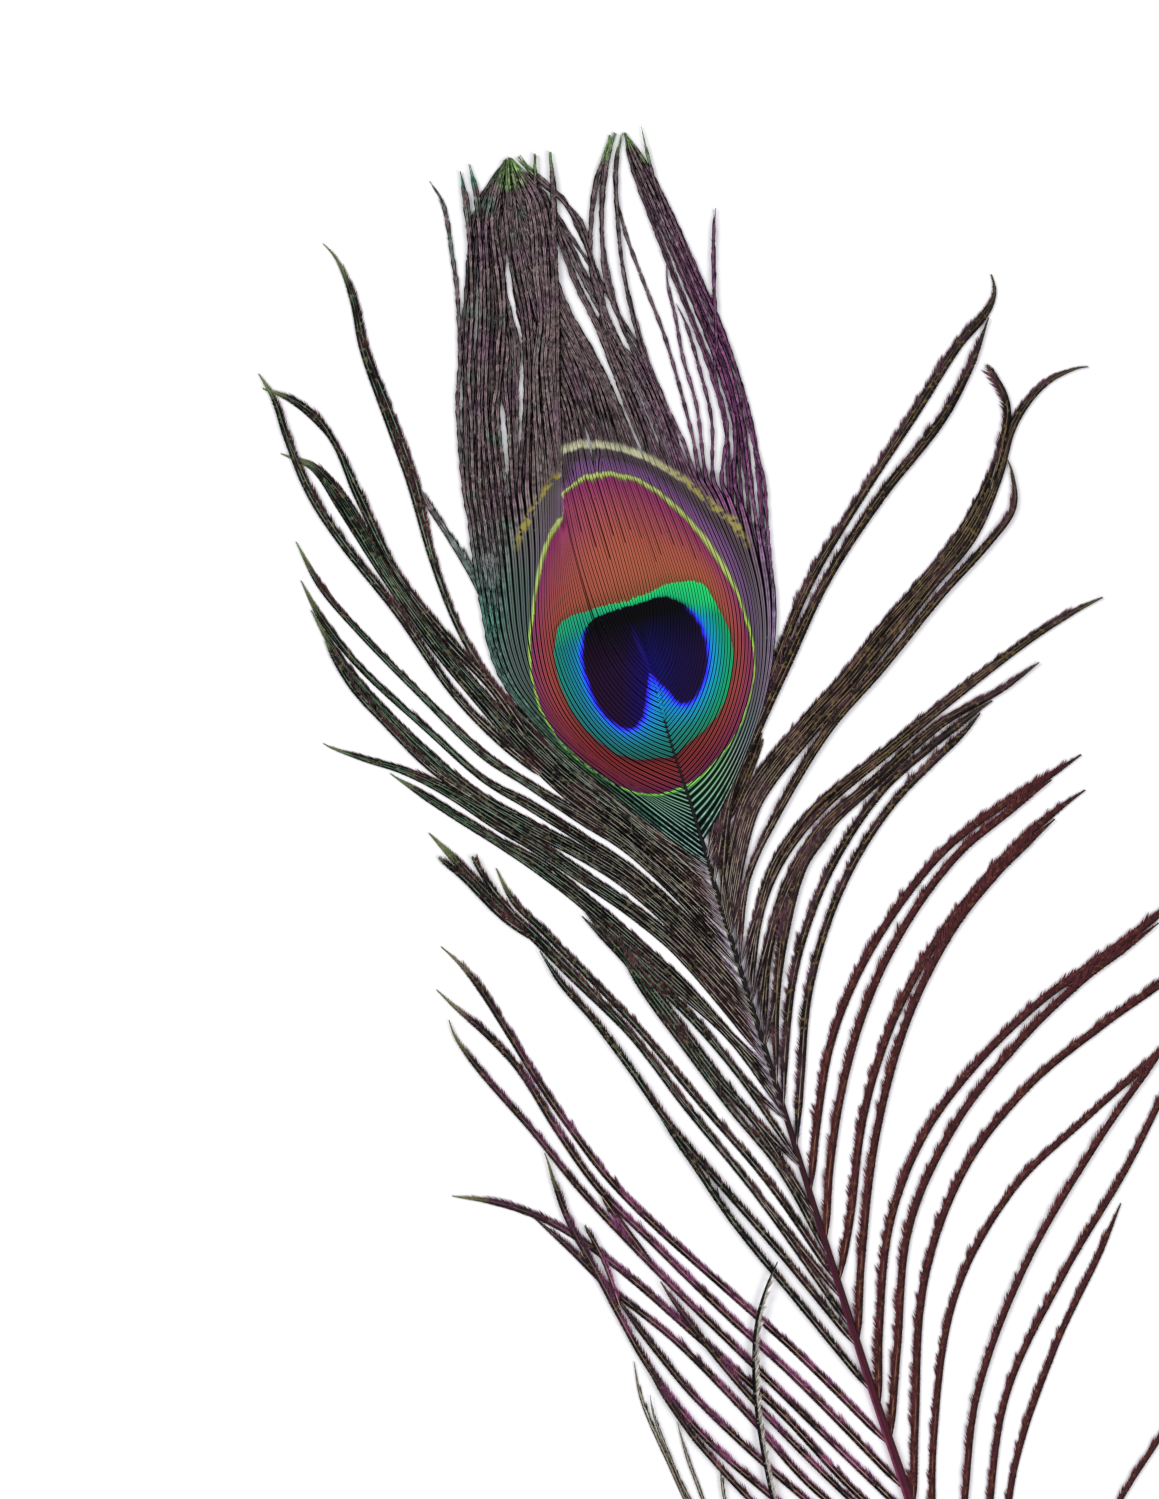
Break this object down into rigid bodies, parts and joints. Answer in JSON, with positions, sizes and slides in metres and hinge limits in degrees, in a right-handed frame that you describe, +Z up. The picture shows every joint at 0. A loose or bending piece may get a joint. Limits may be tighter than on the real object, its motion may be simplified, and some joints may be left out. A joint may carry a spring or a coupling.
{
  "type": "peacock feather",
  "caption": "Curved feather lying flat, with a ringed eye in a closed vane near its tip, a crest of fine locks past the eye and loose curved barbs down both sides of a tapered stem.",
  "frame": {"origin": "on the flat underside of the shaft, where the shaft enters the lower edge of the eye", "axes": "+Y along the feather towards the crest, +Z up from the surface it lies on, out of its bright front side, +X to the right seen from the front"},
  "size_m": [0.1786, 0.3509, 0.002],
  "materials": {
    "rachis": "smooth dark red keratin",
    "eye_barbs": "iridescent barbs, bronze, green and blue in rings",
    "dark_green_barbs": "loose dark barbs with a green gloss",
    "violet_barbs": "loose barbs with a violet gloss",
    "maroon_barbs": "loose brown and maroon barbs",
    "pale_barb": "loose pale barb"
  },
  "bodies": {
    "root": {"shaft": "rachis", "eye_vane": "eye_barbs", "left_tuft_01": "dark_green_barbs", "left_tuft_02": "dark_green_barbs", "left_tuft_03": "dark_green_barbs", "left_tuft_04": "dark_green_barbs", "left_tuft_05": "dark_green_barbs", "left_tuft_06": "dark_green_barbs", "left_tuft_07": "dark_green_barbs", "left_tuft_08": "maroon_barbs", "left_tuft_09": "maroon_barbs", "left_tuft_10": "maroon_barbs", "left_tuft_11": "maroon_barbs", "left_tuft_12": "maroon_barbs", "left_tuft_13": "maroon_barbs", "right_tuft_01": "violet_barbs", "right_tuft_02": "violet_barbs", "right_tuft_03": "violet_barbs", "right_tuft_04": "violet_barbs", "right_tuft_05": "maroon_barbs", "right_tuft_06": "maroon_barbs", "right_tuft_07": "maroon_barbs", "right_tuft_08": "maroon_barbs", "right_tuft_09": "maroon_barbs", "right_tuft_10": "maroon_barbs", "right_tuft_11": "maroon_barbs", "right_tuft_12": "maroon_barbs", "right_tuft_13": "maroon_barbs", "right_tuft_14": "maroon_barbs", "crossing_barb": "pale_barb"}
  },
  "joints": []
}
